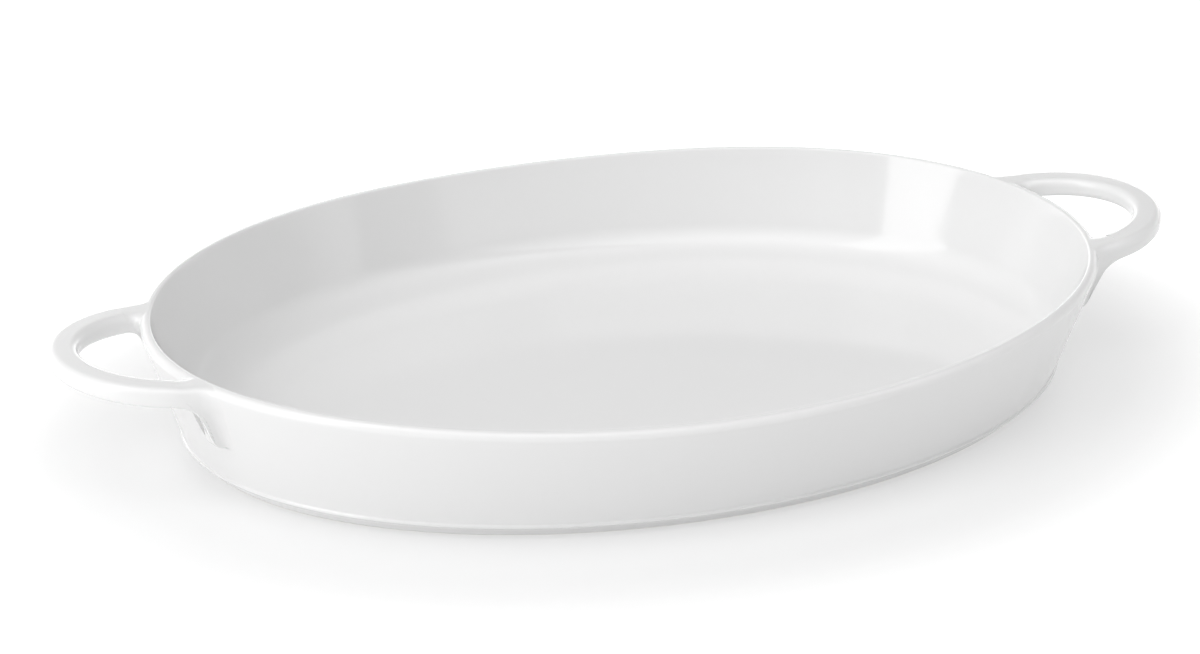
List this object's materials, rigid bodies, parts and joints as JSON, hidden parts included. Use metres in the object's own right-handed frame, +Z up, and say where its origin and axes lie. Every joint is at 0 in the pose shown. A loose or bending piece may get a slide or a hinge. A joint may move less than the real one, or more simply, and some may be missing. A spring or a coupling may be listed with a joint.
{
  "type": "gratin dish",
  "caption": "Shallow oval baking dish with a flared wall, a rounded rim, a low oval foot ring and an open D-shaped loop handle at each end.",
  "frame": {"origin": "on the table under the middle of the dish, the bottom centre of the bounding box", "axes": "+X along the dish through both handles, +Y across it, +Z up out of the open mouth"},
  "size_m": [0.371, 0.2188, 0.0427],
  "materials": {
    "glazed_porcelain": "clear gloss glaze over white porcelain",
    "handle_porcelain": "clear gloss glaze over white porcelain",
    "bare_porcelain": "matt, wiped bare of glaze and ground flat"
  },
  "bodies": {
    "root": {"dish_body": "glazed_porcelain", "foot_ring": "bare_porcelain", "handle_left": "handle_porcelain", "handle_right": "handle_porcelain"}
  },
  "joints": []
}
